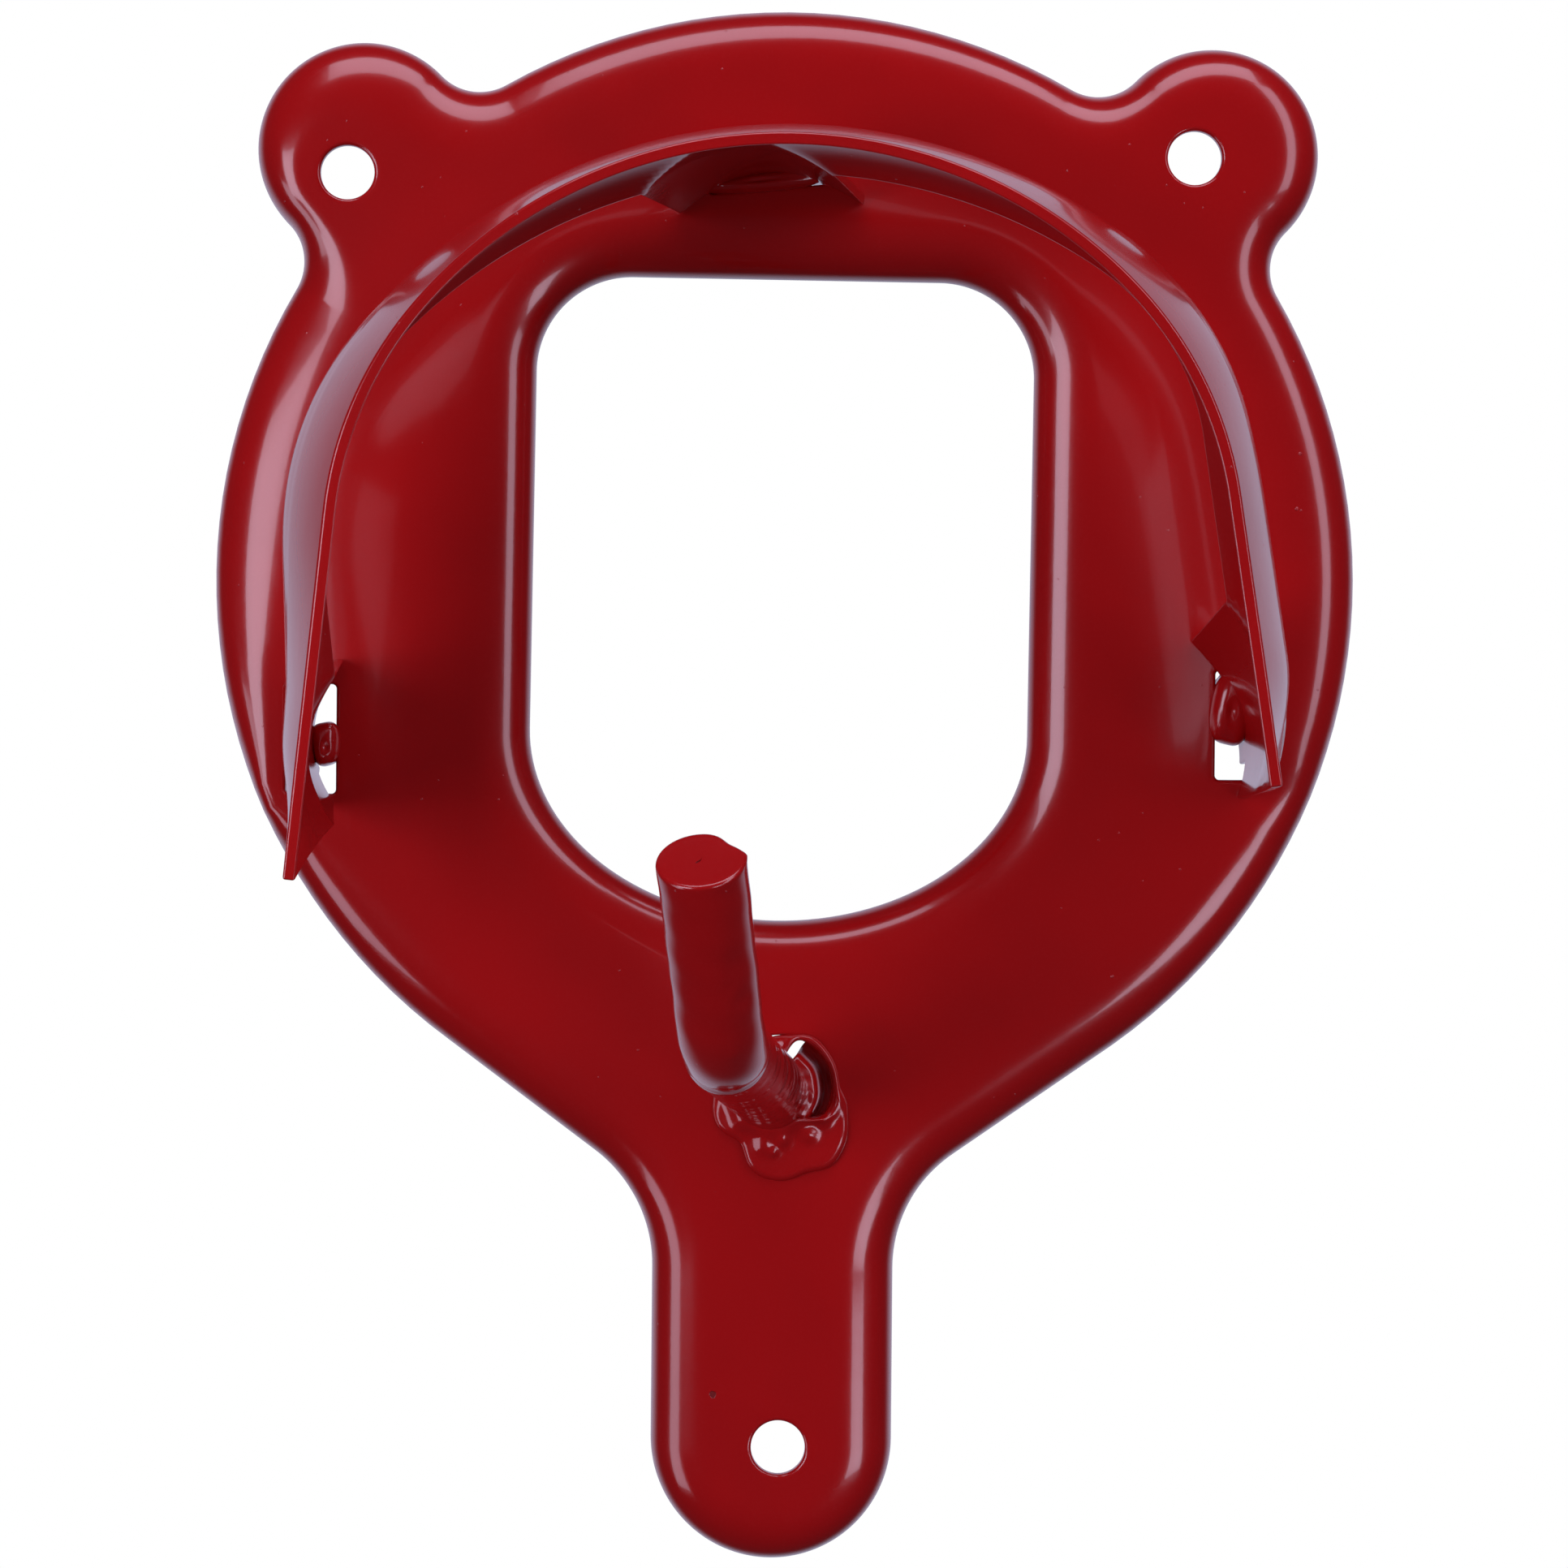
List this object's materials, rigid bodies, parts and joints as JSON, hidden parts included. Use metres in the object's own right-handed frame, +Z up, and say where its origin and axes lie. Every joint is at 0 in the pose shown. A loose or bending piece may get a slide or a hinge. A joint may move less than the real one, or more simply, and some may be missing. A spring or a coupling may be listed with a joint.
{
  "type": "bridle bracket",
  "caption": "Wall bracket with a pressed steel back plate, a crowned sheet arch that carries a bridle's headpiece, and a bent rod hook for the reins, powder coated red.",
  "frame": {"origin": "on the wall plane behind the plate, at the centre of the plate's round part", "axes": "+Z up along the plate, +X to the right seen from the front, +Y into the wall; the bracket stands out to -Y"},
  "size_m": [0.1494, 0.0857, 0.203],
  "materials": {
    "powder_coat": "glossy red powder coat with a faint orange peel",
    "weld_coat": "the same glossy red powder coat over uneven weld metal"
  },
  "bodies": {
    "root": {"back_plate": "powder_coat", "bridle_arch": "powder_coat", "rein_hook": "powder_coat", "hook_weld": "weld_coat", "arch_weld_left": "weld_coat", "arch_weld_top": "weld_coat", "arch_weld_right": "weld_coat"}
  },
  "joints": []
}
